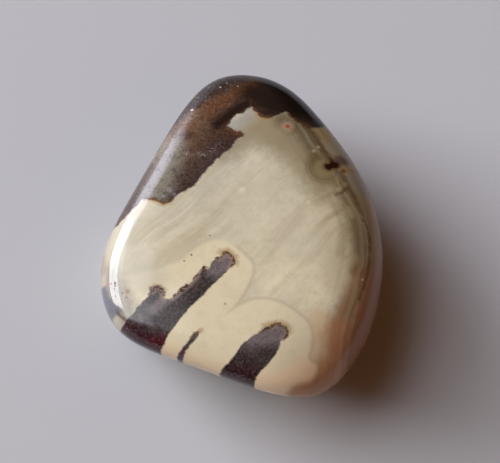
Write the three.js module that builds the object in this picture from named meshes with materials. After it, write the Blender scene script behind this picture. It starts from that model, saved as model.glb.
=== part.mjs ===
// A tumbled pebble of patterned jasper, in millimetres, +Z up.
//
// The stone is one piece: a thick flat chip whose broken faces and corners were rounded in a tumbling
// barrel. It lies on a small worn flat under its belly. The origin is on that flat, under the middle of
// the stone. +Y runs along the stone's length towards its narrow end and +X across it towards the
// bulging flank.
import * as THREE from "three";
import { mergeVertices } from "three/addons/utils/BufferGeometryUtils.js";

// Overall sizes, as calipers would read them.
const WIDTH = 32;
const LENGTH = 40;
const THICKNESS = 15;

// The worn faces of the chip. Bearing is the way a face looks round the stone, in degrees from +X
// towards +Y. Rise is how far it looks up, from -90 under the belly to 90 on top. Reach is how far the
// unrounded face lies from the middle, before the stone is brought to its caliper sizes.
const BROAD_FACES = [
  { name: "table", bearing: 0, rise: 90, reach: 5.6 },
  { name: "belly", bearing: 0, rise: -90, reach: 7.2 },
  { name: "belly, towards the narrow end", bearing: 80, rise: -72, reach: 10.4 },
  { name: "belly, towards the front corner", bearing: 300, rise: -70, reach: 11.2 },
];
const FLANKS = [
  { name: "long flank", bearing: 151, rise: 2, reach: 13.3 },
  { name: "left corner", bearing: 196, rise: -4, reach: 16.6 },
  { name: "front flank", bearing: 251, rise: -25, reach: 12.7 },
  { name: "front corner", bearing: 310, rise: 12, reach: 19.5 },
  { name: "bulging flank, lower", bearing: 341, rise: 6, reach: 18.3 },
  { name: "bulging flank, upper", bearing: 6, rise: 0, reach: 17.2 },
  { name: "narrow end, right", bearing: 37.5, rise: -4, reach: 16.1 },
  { name: "narrow end, tip", bearing: 85, rise: 5, reach: 19.9 },
  { name: "narrow end, left", bearing: 122.5, rise: -3, reach: 19.3 },
];
// How squarely the faces meet: 2 would give an egg, and more than 12 a fresh break. The flanks meet
// each other at rounded corners, and meet the broad faces over softer edges.
const CORNER_SQUARENESS = 10;
const EDGE_SQUARENESS = 4;

// Shallow hollows, where chips came off before the stone was tumbled. Depth is at the middle of the
// hollow, and width is how far from there it has faded to a third of that.
const HOLLOWS = [
  { name: "under the narrow end", bearing: 75, rise: -38, depth: 0.7, width: 5 },
  { name: "under the front corner", bearing: 300, rise: -44, depth: 0.5, width: 4 },
  { name: "under the long flank", bearing: 168, rise: -30, depth: 0.45, width: 4.5 },
  { name: "in the bulging flank", bearing: 8, rise: -22, depth: 0.35, width: 3.5 },
];

// The belly's crown is worn away to a flat, this deep.
const FLAT_DEPTH = 0.2;
// Quads along each edge of the cube that the surface is laid out from: 12 x GRID x GRID triangles.
const GRID = 28;

// The unit vector that looks out along a bearing and a rise.
function facing({ bearing, rise }) {
  const across = Math.cos(THREE.MathUtils.degToRad(rise));
  return new THREE.Vector3(
    across * Math.cos(THREE.MathUtils.degToRad(bearing)),
    across * Math.sin(THREE.MathUtils.degToRad(bearing)),
    Math.sin(THREE.MathUtils.degToRad(rise)),
  );
}

const worn = (faces) => faces.map((face) => ({ normal: facing(face), reach: face.reach }));
const broadFaces = worn(BROAD_FACES);
const flanks = worn(FLANKS);
const hollows = HOLLOWS.map((hollow) => ({ ...hollow, direction: facing(hollow) }));

// How far out a set of faces puts a point one millimetre away along a direction: 1 is on the surface.
function gauge(faces, direction) {
  let sum = 0;
  for (const { normal, reach } of faces) {
    sum += Math.max(0, direction.dot(normal) / reach) ** CORNER_SQUARENESS;
  }
  return sum ** (1 / CORNER_SQUARENESS);
}

// Distance from the middle of the stone to its surface along a unit direction.
function surfaceReach(direction) {
  const broad = gauge(broadFaces, direction) ** EDGE_SQUARENESS;
  const flank = gauge(flanks, direction) ** EDGE_SQUARENESS;
  const roundedReach = (broad + flank) ** (-1 / EDGE_SQUARENESS);
  let dip = 0;
  for (const hollow of hollows) {
    const away = (roundedReach * direction.distanceTo(hollow.direction)) / hollow.width;
    dip += hollow.depth * Math.exp(-away * away);
  }
  return roundedReach - dip;
}

// A closed grid of quads round the stone: a cube's grid, spread evenly and pushed out to the surface.
function pebbleGeometry() {
  const cube = new THREE.BoxGeometry(2, 2, 2, GRID, GRID, GRID);
  cube.deleteAttribute("normal");
  cube.deleteAttribute("uv");
  const geometry = mergeVertices(cube);
  const positions = geometry.getAttribute("position");
  const point = new THREE.Vector3();
  const spread = (value) => Math.tan((value * Math.PI) / 4);
  for (let i = 0; i < positions.count; i++) {
    point.fromBufferAttribute(positions, i);
    point.set(spread(point.x) * WIDTH, spread(point.y) * LENGTH, spread(point.z) * THICKNESS);
    point.normalize();
    point.multiplyScalar(surfaceReach(point));
    positions.setXYZ(i, point.x, point.y, point.z);
  }
  return geometry;
}

// Wears the belly flat, brings the stone to its caliper sizes and stands it on the origin.
function settle(geometry) {
  const positions = geometry.getAttribute("position");
  geometry.computeBoundingBox();
  const flat = geometry.boundingBox.min.z + FLAT_DEPTH;
  for (let i = 0; i < positions.count; i++) {
    positions.setZ(i, Math.max(flat, positions.getZ(i)));
  }
  geometry.computeBoundingBox();
  const size = geometry.boundingBox.getSize(new THREE.Vector3());
  const middle = geometry.boundingBox.getCenter(new THREE.Vector3());
  geometry.translate(-middle.x, -middle.y, -flat);
  geometry.scale(WIDTH / size.x, LENGTH / size.y, THICKNESS / size.z);
  return geometry;
}

const geometry = settle(pebbleGeometry());
const material = new THREE.MeshStandardMaterial({ color: 0xcbbf9e, roughness: 0.15, metalness: 0 });
const pebble = new THREE.Mesh(geometry, material);
pebble.name = "jasper";

const stone = new THREE.Group();
stone.add(pebble);
export default stone;
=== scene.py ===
# A tumbled pebble of patterned jasper lying on a pale board beside a window.

import math

import bpy
import numpy as np
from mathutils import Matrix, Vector


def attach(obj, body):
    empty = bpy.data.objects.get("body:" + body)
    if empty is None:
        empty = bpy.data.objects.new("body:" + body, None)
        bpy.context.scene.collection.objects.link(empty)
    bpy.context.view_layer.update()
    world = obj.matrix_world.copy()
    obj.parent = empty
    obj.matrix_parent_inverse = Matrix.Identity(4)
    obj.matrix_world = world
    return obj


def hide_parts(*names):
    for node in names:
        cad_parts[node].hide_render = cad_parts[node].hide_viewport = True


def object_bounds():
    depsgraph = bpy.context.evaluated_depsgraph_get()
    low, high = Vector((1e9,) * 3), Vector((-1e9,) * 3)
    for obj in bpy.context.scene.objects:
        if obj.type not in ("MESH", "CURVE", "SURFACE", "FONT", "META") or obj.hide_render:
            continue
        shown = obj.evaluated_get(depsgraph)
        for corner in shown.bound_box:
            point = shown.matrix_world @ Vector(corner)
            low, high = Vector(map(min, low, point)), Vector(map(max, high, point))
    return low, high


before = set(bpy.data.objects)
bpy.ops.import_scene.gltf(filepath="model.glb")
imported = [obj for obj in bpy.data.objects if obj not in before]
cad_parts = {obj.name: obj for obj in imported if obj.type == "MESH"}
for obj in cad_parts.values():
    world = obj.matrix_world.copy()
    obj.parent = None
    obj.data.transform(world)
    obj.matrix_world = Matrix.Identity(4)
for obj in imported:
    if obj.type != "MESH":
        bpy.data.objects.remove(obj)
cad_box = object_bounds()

# ---------------------------------------------------------------------------------------------------------
# The jasper
#
# Fine-grained quartz, opaque and coloured by iron and clay. A broken chip of it was ground round in a
# tumbling barrel, with finer and finer grit, until it shone like glass. Its dark cap and fingers are
# iron-rich mud that was squeezed into pale mud, so they run right through. Lengths are in millimetres.

MM = 0.001
UNEVEN_HEIGHT = 0.10
UNEVEN_WIDTH = 7.0

bpy.ops.object.select_all(action="DESELECT")
cad_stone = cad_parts["jasper"]
stone = cad_stone.copy()
stone.data = cad_stone.data.copy()
stone.parent = None
stone.name = "tumbled_stone"
bpy.context.scene.collection.objects.link(stone)
stone.select_set(True)
bpy.context.view_layer.objects.active = stone

bpy.ops.object.mode_set(mode="EDIT")
bpy.ops.mesh.select_all(action="SELECT")
bpy.ops.mesh.remove_doubles(threshold=0.005 * MM)
bpy.ops.mesh.tris_convert_to_quads(face_threshold=math.radians(50), shape_threshold=math.radians(50))
bpy.ops.object.mode_set(mode="OBJECT")
bpy.ops.object.shade_smooth()

rounding = stone.modifiers.new("rounding", "SUBSURF")
rounding.levels = 2
rounding.render_levels = 2
bpy.ops.object.modifier_apply(modifier=rounding.name)

# The barrel leaves the faces very slightly uneven, so a reflection wavers as it crosses the shoulders.
barrel_marks = bpy.data.textures.new("barrel_marks", "CLOUDS")
barrel_marks.noise_scale = UNEVEN_WIDTH * MM
barrel_marks.noise_depth = 1
uneven = stone.modifiers.new("uneven", "DISPLACE")
uneven.texture = barrel_marks
uneven.texture_coords = "LOCAL"
uneven.strength = UNEVEN_HEIGHT * MM
uneven.mid_level = 0.5
bpy.ops.object.modifier_apply(modifier=uneven.name)

# The plan of the markings on the top of the stone, as x and y from its middle. First come their outlines.
CAP = [
    (-20, -0.8), (-14.8, -0.3), (-13.8, 0.1), (-12.9, 0.9), (-12.0, 1.7), (-11.2, 2.6), (-10.4, 2.6),
    (-9.5, 2.2), (-8.9, 1.9), (-8.3, 1.8), (-7.8, 2.1), (-7.2, 2.7), (-6.5, 3.1), (-5.8, 3.4),
    (-5.2, 4.0), (-4.3, 5.4), (-3.3, 6.6), (-2.1, 7.9), (-1.3, 8.5), (-0.5, 9.6), (0.1, 10.1),
    (-0.1, 10.5), (-0.9, 10.8), (-1.7, 11.4), (-1.4, 11.9), (-0.6, 12.9), (0.1, 13.1), (0.5, 13.6),
    (1.0, 14.0), (1.5, 13.7), (2.0, 12.9), (2.4, 12.7), (3.0, 12.6), (3.8, 12.8), (4.9, 13.4),
    (5.5, 13.0), (6.5, 12.3), (7.3, 12.0), (7.7, 11.6), (8.5, 11.7), (9.8, 12.3), (14, 13),
    (12, 26), (-14, 26), (-24, 12),
]
LONG_FINGERS = [
    (-14.5, -13.8), (-13.0, -12.2), (-11.8, -11.0), (-11.0, -10.2), (-10.2, -9.3), (-9.5, -8.6),
    (-8.9, -8.8), (-8.6, -9.3), (-8.5, -9.8), (-7.9, -9.9), (-7.2, -9.5), (-6.6, -8.9), (-5.8, -8.2),
    (-4.7, -7.0), (-4.2, -6.2), (-3.7, -6.4), (-3.1, -5.4), (-2.4, -5.0), (-2.0, -4.6), (-1.5, -4.6),
    (-1.1, -5.0), (-0.9, -5.7), (-1.5, -6.6), (-2.1, -7.2), (-2.9, -8.0), (-3.6, -8.8), (-4.4, -9.7),
    (-5.3, -10.6), (-6.2, -11.5), (-7.0, -12.6), (-8.0, -13.8), (-9.2, -15.6), (-12, -18),
]
SLIVER = [
    (-7.4, -16.9), (-7.1, -16.0), (-6.75, -15.5), (-6.3, -15.1), (-5.9, -14.7), (-5.4, -14.2),
    (-5.0, -13.8), (-4.75, -13.8), (-4.95, -14.3), (-5.3, -14.8), (-5.9, -15.35), (-6.25, -15.8),
    (-6.5, -16.3), (-6.8, -16.9),
]
SHORT_FINGER = [
    (-3.6, -18.6), (-2.2, -17.6), (-1.4, -16.9), (-0.8, -16.4), (-0.3, -15.6), (0.3, -14.9), (1.3, -14.2),
    (2.1, -13.7), (2.9, -13.3), (3.7, -12.9), (4.3, -12.9), (4.9, -13.5), (5.0, -14.2), (4.3, -14.8),
    (4.0, -15.6), (3.5, -16.6), (2.9, -17.2), (2.2, -17.9), (1.5, -18.8), (1.0, -20.2), (-1.0, -21.2),
]
HALO = [
    (-24, -9), (-12.5, -7.0), (-9.2, -6.4), (-7.0, -5.6), (-5.4, -4.3), (-4.1, -3.4), (-2.7, -3.0),
    (-1.2, -3.5), (0.2, -4.7), (1.1, -5.8), (1.1, -7.0), (0.5, -8.6), (-0.5, -10.3), (-1.5, -11.5),
    (-1.9, -12.0), (-1.2, -11.4), (0.2, -10.6), (1.6, -10.1), (3.0, -10.1), (4.3, -10.5), (5.8, -11.4),
    (7.1, -12.5), (7.6, -13.8), (7.5, -15.2), (7.2, -16.4), (7.6, -16.9), (8.1, -17.3), (7.9, -18.2),
    (7.2, -18.8), (5.8, -19.2), (4.3, -20.3), (-4, -27), (-24, -24),
]
CORNER_PATCH = [
    (-18, -7.4), (-15.4, -7.5), (-14.9, -8.2), (-14.6, -9.0), (-14.0, -9.9), (-13.4, -10.6), (-13.2, -10.9),
    (-13.7, -11.1), (-14.4, -11.3), (-18, -12.4),
]
FLANK = [
    (7.6, 12.2), (8.1, 10.9), (8.8, 9.7), (9.4, 8.7), (10.2, 7.5), (11.2, 5.8), (12.2, 4.0), (12.8, 2.8),
    (13.4, 1.4), (13.9, 0.0), (14.25, -1.6), (14.3, -3.6), (14.1, -5.6), (13.6, -7.6), (13.0, -9.4),
    (12.4, -11.8), (11.8, -14.4), (11.4, -17.5), (11.0, -24), (24, -24), (24, 14), (11, 14),
]
EYE = [
    (9.35, 6.5), (9.55, 6.85), (9.95, 6.95), (10.15, 7.5), (10.35, 7.25), (10.8, 7.1), (11.0, 6.7),
    (10.7, 6.3), (10.3, 6.3), (9.9, 6.1), (9.55, 6.2),
]
outlines = {
    "cap": [CAP],
    "finger": [LONG_FINGERS, SLIVER, SHORT_FINGER],
    "halo": [HALO],
    "patch": [CORNER_PATCH],
    "flank": [FLANK],
    "eye": [EYE],
}

# Then lines along which iron, ash or clay gathers, and a few that lay painted shade or a painted sheen, each
# run with how far it reaches to either side.
lines = {
    # in the pale mud
    # painted shade: the pale mud darker towards the left end, which faces the window
    "left_field_shade": [(4.2, [(-13.5, -5.5), (-12.5, -2.0), (-9.5, 0.5), (-5.5, 3.4), (-2.0, 7.0)])],
    "middle": [(5.0, [(-3.0, -1.0), (1.5, 2.5), (4.5, 5.5)])],
    "low_field": [(4.5, [(4.0, -7.5), (7.0, -8.0), (9.0, -10.5)])],
    "dim": [(3.6, [(-2.4, 9.0), (0.8, 10.4), (4.0, 10.2), (7.0, 8.4), (9.0, 6.0), (10.4, 3.4)])],
    "notch": [(1.5, [(-0.9, 11.6), (0.2, 12.2), (1.0, 13.4)])],
    "tan_drift": [(2.0, [(-10.5, -5.6), (-7.2, -4.4), (-4.8, -2.6)])],
    "sandy": [(2.6, [(9.8, 3.4), (10.0, 1.0), (10.2, -1.5), (10.4, -4.5), (10.0, -7.0)])],
    "shade": [(4.2, [(2.8, 11.8), (5.2, 9.8), (7.4, 7.4), (8.6, 4.8)])],
    "dusk": [(2.4, [(4.8, 12.6), (7.0, 11.2), (8.4, 9.2), (9.0, 7.4)])],
    "umbra": [(1.5, [(7.0, 11.8), (8.2, 10.4), (9.0, 8.8)])],
    "olive": [(1.7, [(11.4, 4.2), (12.2, 2.0), (12.8, -0.4), (13.2, -3.2), (12.9, -6.0)])],
    # brown and rosy: part the clay's own colour, part painted warm shade where the lower right end turns away
    # from the window
    "brown": [(2.0, [(13.4, -6.4), (12.6, -8.6), (11.6, -10.8), (10.9, -12.8), (10.8, -14.8)])],
    "rosy": [(2.6, [(11.0, -13.4), (10.6, -15.8), (9.6, -17.8), (7.6, -19.6), (4.5, -21.5)])],
    "blush": [(2.4, [(8.6, -12.4), (8.8, -14.6), (8.6, -16.6), (7.4, -18.6)])],
    "pearl": [
        (1.0, [(10.6, 1.4), (11.2, 0.0), (11.4, -2.4), (11.0, -4.4)]),
        (0.45, [(12.2, 3.0), (12.9, 1.6), (13.3, 0.2)]),
    ],
    "gleam": [(1.1, [(11.5, -5.6), (12.4, -4.8)]), (0.6, [(12.0, 1.2), (12.3, 0.4)])],
    "seam": [
        (1.2, [(-0.4, -4.2), (0.6, -5.1), (1.2, -6.3), (0.8, -7.9)]),
        (1.2, [(0.8, -7.9), (0.0, -9.5), (-1.0, -10.9), (-1.8, -11.9)]),
        (1.2, [(-1.8, -11.9), (-0.8, -11.2), (0.4, -10.5), (2.2, -10.1), (4.2, -10.5), (6.2, -11.6)]),
        (1.2, [(6.2, -11.6), (7.4, -13.0), (7.6, -14.2), (7.5, -15.4), (7.3, -16.4)]),
    ],
    "rind_line": [
        (0.55, [(7.0, 11.9), (8.0, 11.0), (8.8, 9.8), (9.3, 8.8), (10.0, 7.8)]),
        (0.5, [(11.1, 5.9), (11.6, 5.1), (12.1, 4.0), (12.7, 2.9), (13.3, 1.5), (13.8, 0.0)]),
        (0.45, [(12.1, 4.0), (11.4, 3.4), (10.6, 2.9)]),
        (0.3, [(13.8, 0.0), (14.25, -1.6), (14.3, -3.6), (14.1, -5.6), (13.6, -7.6), (13.0, -9.4)]),
    ],
    # over the left end
    # painted shade down the left wall, under the shoulder, which faces the window
    "left_side": [(4.2, [(-16.4, 5), (-16.4, -1), (-16.4, -6), (-15.2, -11), (-13.5, -14)])],
    # the left corner: part greyer stone, part painted shade
    "corner": [(2.4, [(-15.2, -6.4), (-14.0, -8.8), (-12.9, -11.2), (-13.4, -14)])],
    # painted shade over the cream and pale mud of the left end
    "left_end_shade": [(4.0, [(-14.5, 0.5), (-14.2, -3.5), (-13.0, -6.5), (-10.6, -7.6)])],
    "stain": [(0.8, [(-15.9, -3.6), (-15.7, -5.6)])],
    # in the cream round the fingers
    "rosy_front": [(3.2, [(9, -17.5), (5, -19.6), (0, -20), (-5, -18.2), (-9, -16.4)])],
    # in the fingers
    "foot": [
        (1.9, [(-14.5, -12.2), (-12.6, -13.2), (-11.0, -14.1), (-9.0, -15.2)]),
        (2.5, [(-2.6, -18.4), (0.0, -18.6), (1.4, -18.9)]),
        (3.8, [(-16, -15), (-9, -18), (-4, -20.5), (2, -22.5)]),
    ],
    "plum_foot": [(0.9, [(-6.4, -15.5), (-7.0, -17.0)])],
    "wine_foot": [(1.0, [(-9.9, -14.4), (-9.4, -14.4), (-8.9, -14.3)])],
    "dark_core": [
        (1.7, [(-8.6, -12.6), (-6.6, -11.0), (-4.8, -9.2), (-3.8, -8.2)]),
        (1.5, [(-0.4, -16.2), (1.4, -16.0), (3.2, -16.4)]),
    ],
    # painted sheen: grey over the dark fingers where they would mirror the bright sky
    "painted_sheen": [
        (1.8, [(-3.0, -6.6), (-1.8, -5.4)]),
        (1.1, [(-9.6, -11.0), (-8.6, -10.2)]),
        (1.9, [(1.2, -14.8), (3.0, -14.2), (4.0, -14.0)]),
    ],
    "tips": [
        (1.0, [(-2.1, -5.3), (-1.5, -5.4), (-1.3, -6.0)]),
        (0.9, [(3.6, -13.3), (4.2, -13.9), (4.6, -14.3)]),
        (0.8, [(-9.5, -9.0), (-9.0, -9.4), (-8.8, -10.0)]),
        (0.6, [(-7.6, -9.9), (-6.7, -9.1), (-5.9, -8.4), (-5.0, -7.4)]),
    ],
    "iron": [
        (0.9, [(-2.4, -4.95), (-2.0, -4.65), (-1.5, -4.6), (-1.1, -5.0), (-1.0, -5.6)]),
        (0.9, [(2.3, -13.5), (3.1, -13.2), (3.8, -12.9), (4.3, -12.95), (4.8, -13.4), (4.95, -14.2)]),
        (0.8, [(-10.0, -9.0), (-9.5, -8.6), (-8.9, -8.8), (-8.7, -9.2)]),
        (0.5, [(-7.3, -9.6), (-6.7, -9.0), (-6.2, -8.6)]),
        (0.4, [(-5.2, -7.5), (-4.9, -7.2)]),
        (0.6, [(-4.4, -6.4), (-4.1, -6.2)]),
        (0.6, [(-5.3, -14.2), (-4.8, -13.7)]),
        (0.8, [(-10.6, 2.7), (-9.8, 2.3), (-8.9, 1.85), (-8.1, 1.85)]),
        (0.8, [(1.6, 13.5), (2.2, 12.8), (2.9, 12.6)]),
        (0.7, [(5.4, 13.0), (6.4, 12.4), (7.0, 12.0), (7.7, 11.6)]),
    ],
    "clot": [
        (0.42, [(-6.6, -8.9), (-6.1, -8.5)]),
        (0.36, [(-4.3, -6.2), (-4.1, -6.1)]),
        (0.5, [(-9.9, -8.8), (-9.3, -8.6), (-8.9, -8.9)]),
        (0.3, [(0.9, 13.9), (1.0, 15.2)]),
    ],
    "crack": [(0.2, [(-13.8, -10.9), (-13.3, -11.4), (-12.8, -11.9)])],
    "ochre": [
        (0.85, [(-2.2, -4.5), (-1.5, -4.4), (-1.0, -4.9), (-0.8, -5.7)]),
        (0.85, [(2.6, -13.2), (3.8, -12.8), (4.6, -13.0), (5.1, -13.7)]),
        (0.6, [(-9.9, -8.6), (-9.3, -8.4), (-8.6, -8.9)]),
        (0.5, [(-4.6, -13.6), (-4.5, -13.5)]),
        (0.6, [(-10.8, 2.8), (-9.8, 2.2), (-8.9, 1.75), (-8.0, 1.8)]),
        (0.6, [(1.7, 13.0), (2.4, 12.6), (3.0, 12.4)]),
    ],
    # in the cap
    "cap_black": [(3.0, [(2.4, 19.6), (5.2, 16.6), (7.6, 14.4), (9.4, 13.2)])],
    "cap_dusk": [
        (2.8, [(1.2, 16.2), (3.4, 14.6), (5.6, 13.8)]),
        (1.0, [(-2.9, 11.6), (-1.8, 12.6), (-0.8, 13.5), (0.6, 14.5)]),
    ],
    "cap_rust": [
        (1.6, [(-6.1, 12.0), (-4.8, 13.1), (-3.4, 14.1), (-2.0, 15.0)]),
        (1.3, [(-2.0, 14.9), (-0.9, 15.8), (0.3, 16.9), (1.4, 17.7)]),
        (0.45, [(-1.6, 11.2), (-0.8, 10.7), (-0.2, 10.2)]),
    ],
    "cap_umber": [
        (2.0, [(-5.6, 10.6), (-4.4, 9.8), (-3.0, 11.0), (-1.2, 10.6), (-0.2, 10.3)]),
        (1.6, [(-3.6, 12.6), (-2.0, 12.6), (-0.6, 13.4)]),
    ],
    "cap_skin": [
        (1.3, [(-13.6, 1.0), (-12.2, 4.0), (-10.6, 7.0), (-9.1, 10.0)]),
        (1.3, [(-9.1, 10.0), (-7.6, 13.0), (-5.6, 15.4), (-3.4, 17.6)]),
    ],
    "cap_ashes": [(1.7, [(-8.6, 12.6), (-6.6, 14.8), (-4.6, 16.6), (-2.4, 18.2), (0.0, 19.2)])],
    # part the clay's own pinkish brown, part painted sheen where the window's reflection runs on up the cap's
    # left shoulder
    "cap_clay": [(1.5, [(-10.6, 8.6), (-8.6, 10.6), (-7.0, 12.4), (-6.0, 13.2)])],
    "cap_glow": [(2.0, [(-6.4, 7.4), (-5.6, 9.4), (-4.9, 11.2), (-5.2, 12.6)])],
    "cap_olive": [(2.6, [(-8.0, 9.0), (-8.6, 6.6), (-9.4, 4.4), (-10.2, 2.8)])],
    "cap_edge": [
        (0.8, [(-7.2, 2.7), (-5.7, 3.4), (-4.6, 5.0), (-3.4, 6.3), (-2.2, 7.8)]),
        (0.8, [(-2.2, 7.8), (-0.9, 8.7), (-0.2, 9.8)]),
    ],
    "specks": [(0.5, [(-6.5, 8.3), (-5.8, 7.8), (-5.0, 7.7), (-4.0, 7.9), (-3.2, 8.4), (-2.5, 9.0)])],
    # in the flank
    "flank_ochre": [(1.6, [(9.6, 11.4), (10.4, 10.6)]), (0.6, [(10.9, 6.3), (11.8, 6.2), (12.8, 6.4)])],
    "flank_ash": [(1.4, [(10.4, 9.2), (11.4, 9.0)]), (1.6, [(12.7, 5.2), (13.6, 4.2)])],
    # part rosy clay, part painted warm shade on the flank of the right end
    "flank_rosy": [(6.5, [(16.5, -8.5), (14.4, -13.5), (11, -18), (6, -22)])],
    "plum": [(1.1, [(10.9, 7.3), (11.4, 7.5)])],
}


def rounded(outline, closed=True, steps=6):
    """More points on a smooth curve through an outline's own points."""
    knots = np.array(outline, float)
    count = len(knots)
    spans = count if closed else count - 1
    share = np.arange(steps)[:, None] / steps
    curve = []
    for start in range(spans):
        picks = [start - 1, start, start + 1, start + 2]
        if closed:
            before, here, there, after = [knots[pick % count] for pick in picks]
        else:
            before, here, there, after = [knots[min(max(pick, 0), count - 1)] for pick in picks]
        lean_here = (there - before) / 2
        lean_there = (after - here) / 2
        bend = 2 * (here - there) + lean_here + lean_there
        pull = 3 * (there - here) - 2 * lean_here - lean_there
        curve.append(here + share * lean_here + share**2 * pull + share**3 * bend)
    return np.concatenate(curve) if closed else np.concatenate(curve + [knots[-1:]])


def distance_to(places, line, closed):
    """How far each place is from a line of points, and whether a closed line holds it."""
    nearest = np.full(len(places), np.inf)
    held = np.zeros(len(places), bool)
    ends = np.roll(line, -1, axis=0) if closed else line[1:]
    for a, b in zip(line, ends):
        run = b - a
        offset = places - a
        share = np.clip(offset @ run / max(run @ run, 1e-12), 0, 1)
        nearest = np.minimum(nearest, np.linalg.norm(offset - share[:, None] * run, axis=1))
        crosses = (a[1] > places[:, 1]) != (b[1] > places[:, 1])
        if crosses.any():
            at = a[0] + (places[:, 1] - a[1]) / (b[1] - a[1]) * run[0]
            held ^= crosses & (places[:, 0] < at)
    return nearest, held


# The stone rests on its flat, a hair clear of the board. Below its shoulders the markings run on down the
# sides, where they waver and drift to the left and back, because the layers in the stone lie at a slant.
SEAT = 0.002
SHOULDER_HEIGHT = 9.5
SLANT = (2.4, -2.8)
WAVER = 1.3

points = np.empty(len(stone.data.vertices) * 3)
stone.data.vertices.foreach_get("co", points)
points = points.reshape(-1, 3) / MM
points[:, 2] = np.maximum(points[:, 2], SEAT)
stone.data.vertices.foreach_set("co", (points * MM).ravel())
below = np.clip((SHOULDER_HEIGHT - points[:, 2]) / SHOULDER_HEIGHT, 0, 1) ** 1.6
sway = np.sin(0.45 * points[:, 1] + 0.9) + 0.6 * np.sin(0.8 * points[:, 0] - 0.7)
swing = np.sin(0.38 * points[:, 0] + 2.1) + 0.6 * np.sin(0.7 * points[:, 1] + 0.4)
plan = points[:, :2] + below[:, None] * (np.array(SLANT) + WAVER * np.stack([sway, swing], axis=1))

# How deep each point lies inside an outline, and how strongly each thing gathers there, 1 on its line.
markings = {}
for name, loops in outlines.items():
    depths = []
    for loop in loops:
        nearest, held = distance_to(plan, rounded(loop), closed=True)
        depths.append(np.where(held, nearest, -nearest))
    markings[name] = np.max(depths, axis=0)
for name, runs in lines.items():
    shares = []
    for reach, run in runs:
        nearest, _ = distance_to(plan, rounded(run, closed=False), closed=False)
        shares.append(np.maximum(1 - nearest / reach, -1))
    markings[name] = np.max(shares, axis=0)
for name, values in markings.items():
    attribute = stone.data.attributes.new(name, "FLOAT", "POINT")
    attribute.data.foreach_set("value", values.astype(np.float32))

# Jasper polished in a barrel: an opaque, earthy stone whose colours lie right at the skin, under a clear
# mirror gloss like that of glass. Where its mud was coarser, the gloss is a little softer.
jasper = bpy.data.materials.new("polished_jasper")
jasper.use_nodes = True
tree = jasper.node_tree
tree.nodes.clear()


def colour(code):
    """A screen colour as the linear values that shaders take."""
    shares = [int(code[at : at + 2], 16) / 255 for at in (1, 3, 5)]
    return (*[s / 12.92 if s <= 0.04045 else ((s + 0.055) / 1.055) ** 2.4 for s in shares], 1)


def add(kind, sockets, output=0, **settings):
    """One output of a new node, its sockets set to values or linked to the outputs given."""
    made = tree.nodes.new(kind)
    for name, value in settings.items():
        setattr(made, name, value)
    for name, value in sockets.items():
        if isinstance(value, bpy.types.NodeSocket):
            tree.links.new(value, made.inputs[name])
        else:
            made.inputs[name].default_value = value
    return made.outputs[output] if output is not None else made


place = add("ShaderNodeTexCoord", {}, 3)
mm = add("ShaderNodeVectorMath", {0: place, 1: [1 / MM] * 3}, operation="MULTIPLY")

# The soft mud was stretched from the front left to the back right. Each size is the length, width and
# height of what that left, and wide swirls bend it all a little.
STRETCH_BEARING = 47
SWIRL_WIDTH = 11
SWIRL_REACH = 3.5

swirl = add("ShaderNodeTexNoise", {"Vector": mm, "Scale": 1 / SWIRL_WIDTH, "Detail": 1}, 1)
swirled = add("ShaderNodeVectorMath", {0: swirl, 1: [SWIRL_REACH] * 3, 2: mm}, operation="MULTIPLY_ADD")
textures = {}
for name, size, roughness in (
    ("bands", (20, 3.2, 9), 0.5),
    ("streaks", (14, 1.5, 6), 0.55),
    ("hairs", (6, 0.4, 3), 0.5),
):
    lie = add(
        "ShaderNodeMapping",
        {"Vector": swirled, "Rotation": (0, 0, math.radians(STRETCH_BEARING)), "Scale": size},
        vector_type="TEXTURE",
    )
    textures[name] = add(
        "ShaderNodeTexNoise", {"Vector": lie, "Scale": 1, "Detail": 2, "Roughness": roughness}
    )

# Clouds and grains, each by its width. Jasper's own grains are a few hundredths of a millimetre, and are
# drawn as coarse as they need to be to show.
for name, width, roughness in (
    ("clouds", 3.5, 0.5),
    ("blotches", 1.6, 0.6),
    ("fray", 0.9, 0.72),
    ("grains", 0.26, 0.8),
):
    textures[name] = add(
        "ShaderNodeTexNoise", {"Vector": mm, "Scale": 1 / width, "Detail": 3, "Roughness": roughness}
    )

# Single pale crystals, at most one to a cell, by the cell's width. Each cell gives its own a chance size.
for name, width in (("glints", 0.55), ("dust", 0.3)):
    cells = add("ShaderNodeTexVoronoi", {"Vector": mm, "Scale": 1 / width}, None)
    chance = add("ShaderNodeSeparateColor", {0: cells.outputs[1]})
    textures[name] = add("ShaderNodeMath", {0: chance, 1: cells.outputs[0]}, operation="SUBTRACT")
textures["height"] = add("ShaderNodeSeparateXYZ", {0: mm}, 2)

# Rind lines run alongside the flank's edge, about two thirds of a millimetre apart.
rind = add("ShaderNodeAttribute", {}, 2, attribute_name="flank")
wavering = add("ShaderNodeMath", {0: textures["clouds"], 1: 1.2, 2: rind}, operation="MULTIPLY_ADD")
textures["rinds"] = add(
    "ShaderNodeTexNoise", {"W": wavering, "Scale": 1.5, "Detail": 2, "Roughness": 0.65}, noise_dimensions="1D"
)

# Rings spread round the eye, a spot where iron soaked in. A wave texture's own rings are 0.314 wide.
BELLY_HEIGHT = 4
EYE_MIDDLE = (9.3, 6.3)
RING_WIDTH = 0.45


def on_skin(x, y):
    """The point on the stone's upper side at a place in plan."""
    away = np.hypot(points[:, 0] - x, points[:, 1] - y)
    return points[np.argmin(np.where(points[:, 2] > BELLY_HEIGHT, away, np.inf))]


eye_place = add("ShaderNodeVectorMath", {0: mm, 1: on_skin(*EYE_MIDDLE)}, operation="SUBTRACT")
textures["from_eye"] = add("ShaderNodeVectorMath", {0: eye_place}, 1, operation="LENGTH")
textures["rings"] = add(
    "ShaderNodeTexWave",
    {
        "Vector": eye_place,
        "Scale": 0.314 / RING_WIDTH,
        "Distortion": 1.5,
        "Detail": 1,
        "Detail Scale": 0.6,
    },
    1,
    wave_type="RINGS",
    rings_direction="SPHERICAL",
)

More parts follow.
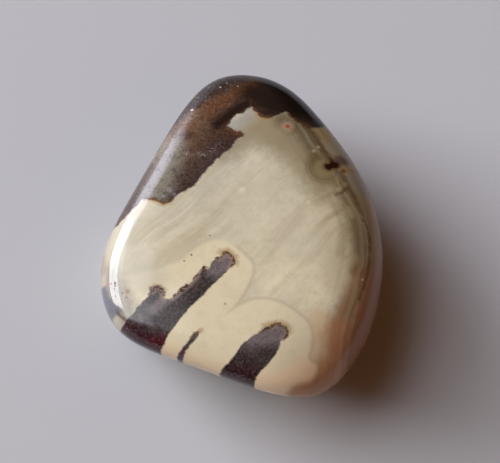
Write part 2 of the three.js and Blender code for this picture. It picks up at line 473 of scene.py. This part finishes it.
# Where each thing shows: what it follows, how much the grain frays it, where it begins and where it is full.
fades = {
    "bands": ("bands", 0, 0.44, 0.62),
    "streaks": ("streaks", 0, 0.46, 0.66),
    "hairs": ("hairs", 0, 0.5, 0.75),
    "clouds": ("clouds", 0, 0.42, 0.6),
    "blotches": ("blotches", 0, 0.48, 0.66),
    "pale_blotches": ("blotches", 0, 0.46, 0.32),
    "mottles": ("fray", 0, 0.46, 0.66),
    "dark_mottles": ("fray", 0, 0.5, 0.3),
    "grains": ("grains", 0, 0.5, 0.7),
    "dark_grains": ("grains", 0, 0.5, 0.3),
    "glints": ("glints", 0, 0.72, 0.82),
    "dark_rinds": ("rinds", 0, 0.48, 0.64),
    "pale_rinds": ("rinds", 0, 0.5, 0.34),
    "by_rind": ("flank", 0, -4.5, -0.6),
    "flank": ("flank", 0.3, -0.25, 0.25),
    "halo": ("halo", 0.3, -0.45, 0.3),
    "halo_out": ("halo", 0.15, -0.5, -0.1),
    "halo_in": ("halo", 0.15, 0.25, -0.05),
    "patch": ("patch", 0.5, -0.3, 0.3),
    "finger": ("finger", 0.55, -0.12, 0.12),
    "finger_side": ("finger", 0.7, 0.7, 0.0),
    "finger_rim_out": ("finger", 0.8, -0.26, -0.1),
    "finger_rim_in": ("finger", 0.8, 0.24, 0.02),
    "cap": ("cap", 0.9, -0.16, 0.16),
    "cap_rim_out": ("cap", 0.95, -0.26, -0.12),
    "cap_rim_in": ("cap", 0.95, 0.26, 0.02),
    "crumbs": ("grains", 0, 0.62, 0.48),
    "dust": ("dust", 0, 0.62, 0.8),
    "eye": ("eye", 0.6, -0.15, 0.12),
    "eye_edge": ("eye", 0.8, -0.5, 0.05),
    "below": ("height", 0, 13.5, 12.5),
    "upper": ("height", 5, 7.0, 10.5),
    "rings": ("rings", 0, 0.35, 0.65),
    "disc": ("from_eye", 0.3, 1.3, 0.8),
    "in_rings": ("from_eye", 0, 2.6, 1.5),
    "off_pupil": ("from_eye", 0, 1.05, 1.35),
}
for name in lines:
    fades[name] = (name, 0.35, 0.0, 0.85)
fades["iron"] = ("iron", 0.6, 0.0, 0.6)
fades["clot"] = ("clot", 2.2, 0.2, 0.7)
fades["crack"] = ("crack", 0.9, 0.0, 0.5)
fades["ochre"] = ("ochre", 0.9, 0.1, 0.9)
fades["tips"] = ("tips", 0.9, 0.0, 0.6)
fades["rind_line"] = ("rind_line", 0.9, 0.1, 0.9)
fades["plum"] = ("plum", 0.8, 0.0, 0.7)
sources = dict(textures)
for name in markings:
    sources[name] = add("ShaderNodeAttribute", {}, 2, attribute_name=name)
shows = {}
for name, (source, fraying, begins, full) in fades.items():
    value = sources[source]
    if fraying:
        offset = add("ShaderNodeMath", {0: textures["fray"], 1: 0.5}, operation="SUBTRACT")
        value = add("ShaderNodeMath", {0: offset, 1: fraying, 2: value}, operation="MULTIPLY_ADD")
    shows[name] = add(
        "ShaderNodeMapRange",
        {"Value": value, "From Min": begins, "From Max": full},
        interpolation_type="SMOOTHSTEP",
    )

# The colours of the pale mud, the cream round the fingers, the flank, the fingers and the cap, and the layers
# laid over them: what each is laid on, the things that must all show there, how strong it is, and its tint.
# Laid on the stone, it comes over the pale mud.
paints = {
    "field": colour("#d8cdae"),
    "cream": colour("#e3d6b2"),
    "flank": colour("#a08c6c"),
    "finger": colour("#302826"),
    "cap": colour("#43322a"),
}
layers = [
    # Painted shade on the pale mud towards the left end.
    ("field", "left_field_shade", 0.80, "#bcb6a0"),
    ("field", "middle", 0.60, "#ccc4a8"),
    ("field", "low_field", 0.80, "#ece0bc"),
    ("field", "bands", 0.30, "#c6bea4"),
    ("field", "streaks", 0.42, "#bcac8c"),
    ("field", "hairs", 0.26, "#ece4cc"),
    ("field", "blotches", 0.18, "#bcae8e"),
    ("field", "pale_blotches", 0.20, "#e0d6b8"),
    ("field", "mottles", 0.16, "#a89c80"),
    ("field", "dim", 0.66, "#887a60"),
    ("field", "tan_drift", 0.30, "#ae9c7a"),
    ("field", "sandy", 0.50, "#ccbc98"),
    ("field", "notch", 0.80, "#a8a79c"),
    ("field", "shade", 0.65, "#988868"),
    ("field", "dusk", 0.75, "#5c4e34"),
    ("field", "umbra", 0.50, "#5a4628"),
    ("field", "olive", 0.88, "#76623e"),
    ("field", "blush", 0.70, "#dcc096"),
    # Brown and rosy: part clay colour, part painted warm shade on the lower right.
    ("field", "brown", 0.85, "#906a42"),
    ("field", "rosy", 0.90, "#be8a64"),
    ("field", "pearl", 0.35, "#8a7650"),
    ("field", "gleam", 0.40, "#c2b290"),
    ("field", "sandy streaks", 0.40, "#94825c"),
    ("field", "by_rind dark_rinds", 0.30, "#7c6c50"),
    ("field", "by_rind pale_rinds", 0.25, "#c4b894"),
    ("field", "in_rings", 0.55, "#705e38"),
    ("field", "halo_out halo_in seam", 0.60, "#b0a080"),
    ("flank", "dark_rinds", 0.40, "#7f7058"),
    ("flank", "flank_ochre", 0.80, "#95804f"),
    ("flank", "flank_ash", 0.70, "#928c78"),
    # Part rosy clay, part painted warm shade on the right end's flank.
    ("flank", "flank_rosy", 0.95, "#9e7052"),
    ("field", "flank", 1.00, "flank"),
    ("field", "plum", 0.80, "#52403e"),
    ("field", "rind_line", 0.70, "#58442a"),
    ("cream", "blotches", 0.20, "#d4c49c"),
    ("cream", "mottles", 0.12, "#b8a888"),
    ("cream", "rosy_front", 0.80, "#f8d8b0"),
    ("finger", "mottles", 0.48, "#6a5e5c"),
    ("finger", "clouds", 0.40, "#5a524a"),
    # Painted sheen on the fingers.
    ("finger", "painted_sheen", 0.65, "#8a7e7c"),
    ("finger", "dark_core", 0.60, "#3c3430"),
    ("finger", "foot", 0.90, "#34141a"),
    ("finger", "plum_foot", 0.70, "#54344c"),
    ("finger", "wine_foot", 0.50, "#5a1220"),
    ("finger", "grains", 0.28, "#958588"),
    ("finger", "dust", 0.15, "#b0a0a4"),
    ("finger", "dark_grains", 0.60, "#181010"),
    ("finger", "finger_side tips", 0.80, "#a0887e"),
    ("finger", "finger_side tips glints", 0.80, "#ecd9cf"),
    ("cap", "mottles", 0.25, "#665850"),
    ("cap", "cap_umber", 0.75, "#4a3224"),
    ("cap", "cap_rust", 0.85, "#62402a"),
    # Part clay colour, part painted sheen.
    ("cap", "cap_clay", 0.75, "#786452"),
    ("cap", "cap_glow", 0.50, "#68503a"),
    ("cap", "cap_olive", 0.75, "#8a8474"),
    ("cap", "cap_edge", 0.50, "#3a2c30"),
    ("cap", "cap_ashes", 0.85, "#1a1312"),
    ("cap", "grains", 0.20, "#8b766c"),
    ("cap", "dark_grains", 0.50, "#140d0c"),
    ("cap", "dark_mottles", 0.45, "#22150e"),
    # Pale pinkish grains: painted glints of the window's reflection.
    ("cap", "cap_clay grains", 0.50, "#c4a08c"),
    ("cap", "cap_rust grains", 0.30, "#8c6448"),
    ("cap", "dust", 0.25, "#9c908c"),
    ("cap", "specks grains", 0.60, "#a4989a"),
    ("cap", "specks dust", 0.80, "#cfc6c4"),
    ("cap", "cap_skin dark_grains", 0.60, "#1a1012"),
    ("cap", "cap_skin grains", 0.35, "#8c726c"),
    ("cap", "cap_skin dust", 0.40, "#c8b6b0"),
    ("cap", "cap_dusk", 0.85, "#1c120e"),
    ("cap", "cap_black", 1.00, "#0d0a0a"),
    ("cap", "cap_ashes glints", 0.90, "#cfc4bb"),
    ("cap", "cap_ashes dust", 0.70, "#a89c94"),
    ("stone", "halo", 1.00, "cream"),
    # Painted shade over the left end.
    ("stone", "left_end_shade", 0.70, "#b2a88e"),
    # Part greyer stone, part painted shade at the left corner.
    ("stone", "corner", 0.80, "#706a60"),
    # Painted shade down the left wall below the shoulder.
    ("stone", "left_side below", 0.90, "#a89e8c"),
    ("stone", "stain upper", 0.50, "#8a5c4c"),
    ("stone", "patch upper", 1.00, "#66646a"),
    ("stone", "patch upper grains", 0.40, "#8e8c8a"),
    ("stone", "patch upper dark_grains", 0.35, "#4c4850"),
    ("stone", "ochre", 0.65, "#a88450"),
    ("stone", "finger", 1.00, "finger"),
    ("stone", "cap", 1.00, "cap"),
    ("stone", "finger_rim_out finger_rim_in iron", 0.45, "#a07a50"),
    ("stone", "finger_rim_out finger_rim_in iron crumbs", 0.85, "#34201a"),
    ("stone", "cap_rim_out cap_rim_in iron", 0.50, "#6e4828"),
    ("stone", "cap_rim_out cap_rim_in iron crumbs", 0.80, "#462c1a"),
    ("stone", "clot crumbs", 0.92, "#40261a"),
    ("stone", "crack", 0.75, "#64504a"),
    ("stone", "disc", 0.65, "#92825a"),
    ("stone", "in_rings off_pupil rings", 0.22, "#5c4c30"),
    ("stone", "eye_edge", 0.75, "#552c16"),
    ("stone", "eye", 1.00, "#2c130c"),
]
for under, things, strength, tint in layers:
    shown = strength
    for thing in things.split():
        shown = add("ShaderNodeMath", {0: shows[thing], 1: shown}, operation="MULTIPLY")
    base = paints[under] if under in paints else paints["field"]
    tint = paints[tint] if tint in paints else colour(tint)
    paints[under] = add("ShaderNodeMix", {0: shown, 6: base, 7: tint}, 2, data_type="RGBA")

# Spots on the upper side, each laid over those before it: x, y, radius, softness, strength and tint.
spots = [
    (5.2, 11.45, 0.7, 0.3, 0.5, "#bca084"),
    (11.5, 6.2, 0.28, 0.15, 0.8, "#6e3a1a"),
    (10.8, 3.5, 0.35, 0.2, 0.5, "#b3a880"),
    (11.6, 4.4, 0.3, 0.2, 0.45, "#a89a70"),
    (5.1, 11.5, 0.24, 0.1, 0.9, "#a8401a"),
    (5.6, 11.2, 0.14, 0.06, 0.6, "#a8582c"),
    (8.2, 8.3, 0.22, 0.12, 0.5, "#c4b98e"),
    (8.7, 8.9, 0.2, 0.12, 0.5, "#c4b98e"),
    (8.9, -13.9, 0.5, 0.25, 0.5, "#d0a684"),
    (10.8, -14.2, 0.35, 0.2, 0.5, "#b88a66"),
    (-15.0, -7.3, 0.3, 0.15, 0.6, "#a87c70"),
    (-12.6, -8.85, 0.26, 0.2, 0.8, "#8a6a3c"),
    (-13.0, -9.15, 0.14, 0.08, 0.6, "#a88078"),
    (-12.75, -9.5, 0.17, 0.08, 0.7, "#7a5650"),
    (-12.85, -9.8, 0.12, 0.06, 0.5, "#8a6660"),
    (-13.15, -8.95, 0.14, 0.06, 0.7, "#6a4438"),
    (-8.3, 3.4, 0.3, 0.15, 0.5, "#8d8d8a"),
    (-8.9, 2.6, 0.25, 0.12, 0.5, "#8d8d8a"),
    (-7.7, 2.9, 0.22, 0.12, 0.4, "#8d8d8a"),
    (0.0, 3.2, 0.3, 0.25, 0.4, "#efe8d4"),
    (7.4, 1.8, 0.24, 0.2, 0.3, "#e6dcc0"),
    (-5.6, -4.7, 0.13, 0.06, 0.8, "#4a2e20"),
    (-6.35, -5.5, 0.12, 0.06, 0.7, "#4a2e20"),
    (-3.6, -2.4, 0.11, 0.06, 0.6, "#5c4028"),
    (-1.9, -10.5, 0.14, 0.07, 0.6, "#b07a5c"),
    (-6.65, -15.2, 0.3, 0.25, 0.4, "#8c6c7c"),
    (-4.6, -16.0, 0.16, 0.07, 0.7, "#fbf3e2"),
    (-5.75, 14.15, 0.14, 0.05, 0.8, "#f1e2cf"),
    (-2.6, 17.1, 0.1, 0.04, 0.7, "#d9d2ca"),
    (-0.6, 17.15, 0.1, 0.04, 0.6, "#ccb091"),
    # A painted highlight: a tiny white glint on the right shoulder.
    (13.5, -7.1, 0.12, 0.05, 0.6, "#efe8da"),
]
# Small open pits, plum-red and dull inside because no polish reached their floors: x, y and radius.
pits = [
    (-14.15, -7.45, 0.13),
    (-14.0, -7.62, 0.09),
    (-14.1, -7.85, 0.12),
    (-14.5, -7.55, 0.1),
    (-14.25, -8.1, 0.08),
    (-13.9, -8.85, 0.18),
    (-14.0, -9.1, 0.08),
]
body = paints["stone"]
floors = []
for x, y, radius, softness, strength, tint in spots + [(*pit, 0.05, 0.85, "#6a3440") for pit in pits]:
    reach = add("ShaderNodeVectorMath", {0: mm, 1: on_skin(x, y)}, 1, operation="DISTANCE")
    ragged = add("ShaderNodeMath", {0: textures["fray"], 1: -radius, 2: reach}, operation="MULTIPLY_ADD")
    shown = add(
        "ShaderNodeMapRange",
        {
            "Value": ragged,
            "From Min": radius / 2 + softness,
            "From Max": radius / 2 - softness,
            "To Max": strength,
        },
        interpolation_type="SMOOTHSTEP",
    )
    body = add("ShaderNodeMix", {0: shown, 6: body, 7: colour(tint)}, 2, data_type="RGBA")
    if (x, y, radius) in pits:
        floors.append(shown)

# The iron-rich mud is coarser than the pale mud, so it polishes less: grains stand a few microns proud of it,
# most of all in its clay and ashes. The rosy clay at the right end is a little duller too. 1.54 is quartz.
POLISH_ROUGHNESS = 0.12
CLAY_ROUGHNESS = 0.14
COARSE_ROUGHNESS = 0.16
CAP_ROUGHNESS = 0.03
GRAIN_HEIGHT = 0.02

dark = add("ShaderNodeMath", {0: shows["finger"], 1: shows["cap"]}, operation="MAXIMUM")
coarse = add("ShaderNodeMath", {0: shows["cap_clay"], 1: shows["cap_skin"]}, operation="MAXIMUM")
coarse = add("ShaderNodeMath", {0: coarse, 1: 0.4, 2: shows["cap_ashes"]}, operation="MULTIPLY_ADD")
coarse = add("ShaderNodeMath", {0: coarse, 1: shows["cap"]}, operation="MULTIPLY")
clay = add("ShaderNodeMath", {0: shows["flank"], 1: shows["rosy"]}, operation="MAXIMUM")
roughness = POLISH_ROUGHNESS
for part, more in ((clay, CLAY_ROUGHNESS), (coarse, COARSE_ROUGHNESS), (shows["cap"], CAP_ROUGHNESS)):
    roughness = add("ShaderNodeMath", {0: part, 1: more, 2: roughness}, operation="MULTIPLY_ADD")
for floor in floors:
    roughness = add("ShaderNodeMath", {0: roughness, 1: floor}, operation="MAXIMUM")
proud = add("ShaderNodeMath", {0: coarse, 1: 0.8, 2: 0.2}, operation="MULTIPLY_ADD")
proud = add("ShaderNodeMath", {0: proud, 1: dark}, operation="MULTIPLY")
relief = add(
    "ShaderNodeBump", {"Strength": proud, "Distance": GRAIN_HEIGHT * MM, "Height": textures["grains"]}
)
polish = add(
    "ShaderNodeBsdfPrincipled",
    {"Base Color": body, "Roughness": roughness, "IOR": 1.54, "Normal": relief},
)
add("ShaderNodeOutputMaterial", {"Surface": polish}, None)
stone.data.materials.clear()
stone.data.materials.append(jasper)

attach(stone, "root")
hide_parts("jasper")

# ---------------------------------------------------------------------------------------------------------
# The board
#
# A flat wooden board in matt pale grey paint, brushed on, which isn't part of the stone. It is far wider than
# any view of the stone needs, and has no gloss.

bpy.ops.mesh.primitive_plane_add(size=4, location=(0, 0, 0))
board = bpy.context.object
board.name = "board"
paint = bpy.data.materials.new("matt_paint")
paint.use_nodes = True
paint.node_tree.nodes["Principled BSDF"].inputs["Base Color"].default_value = colour("#bcbcbd")
paint.node_tree.nodes["Principled BSDF"].inputs["Roughness"].default_value = 0.7
board.data.materials.append(paint)

# ---------------------------------------------------------------------------------------------------------
# The light and the camera
#
# Soft daylight from one large window low on the left, whose frame and blind split it into parts of unequal
# brightness, and a dim warm room on the right. The camera looks down from the front.

low, high = cad_box
centre = (Vector(low) + Vector(high)) / 2

# Each lamp's bearing and height in degrees, its distance, width and height in metres, its radiance and tint.
lamps = [
    ("window", (158, 19), 1.8, (1.36, 0.86), 11.3, "#f3f6ff"),
    ("window_middle", (168, 36), 2.0, (1.60, 0.50), 4.6, "#f3f6ff"),
    ("window_top", (168, 49), 2.0, (1.60, 0.50), 3.0, "#f3f6ff"),
    ("sky", (166, 62), 2.0, (1.60, 0.50), 1.8, "#f3f6ff"),
    ("window_side", (134, 19), 2.0, (0.42, 1.05), 6.8, "#e6e6ff"),
    ("ceiling", (164, 68), 2.0, (1.30, 0.80), 1.2, "#f3f6ff"),
    ("room", (340, 40), 1.0, (1.30, 0.90), 0.22, "#ffae70"),
]
for name, (bearing, height), distance, (wide, tall), radiance, tint in lamps:
    bearing, height = math.radians(bearing), math.radians(height)
    across = distance * math.cos(height)
    away = Vector((across * math.cos(bearing), across * math.sin(bearing), distance * math.sin(height)))
    bpy.ops.object.light_add(type="AREA", location=centre + away)
    lamp = bpy.context.object
    lamp.name = name
    lamp.data.shape = "RECTANGLE"
    lamp.data.size = wide
    lamp.data.size_y = tall
    lamp.data.energy = radiance * math.pi * wide * tall
    lamp.data.color = colour(tint)[:3]
    lamp.rotation_euler = away.to_track_quat("Z", "Y").to_euler()

room = bpy.data.worlds.new("room")
room.use_nodes = True
room.node_tree.nodes["Background"].inputs["Color"].default_value = colour("#b48058")
room.node_tree.nodes["Background"].inputs["Strength"].default_value = 0.125
bpy.context.scene.world = room

# The camera aims a little to the right of the stone's middle and a little above it.
VIEW_HEIGHT = math.radians(66)
VIEW_DISTANCE = 0.230
AIM_RIGHT = 0.90
AIM_UP = 1.30

bpy.ops.object.camera_add()
camera = bpy.context.object
camera.data.lens = 143.6
camera.data.clip_start = 0.01
back = Vector((0, -math.cos(VIEW_HEIGHT), math.sin(VIEW_HEIGHT)))
up = Vector((0, math.sin(VIEW_HEIGHT), math.cos(VIEW_HEIGHT)))
target = centre + Vector((AIM_RIGHT * MM, 0, 0)) + up * AIM_UP * MM
camera.location = target + back * VIEW_DISTANCE
camera.rotation_euler = (-back).to_track_quat("-Z", "Y").to_euler()
bpy.context.scene.camera = camera
bpy.context.scene.view_settings.view_transform = "Standard"
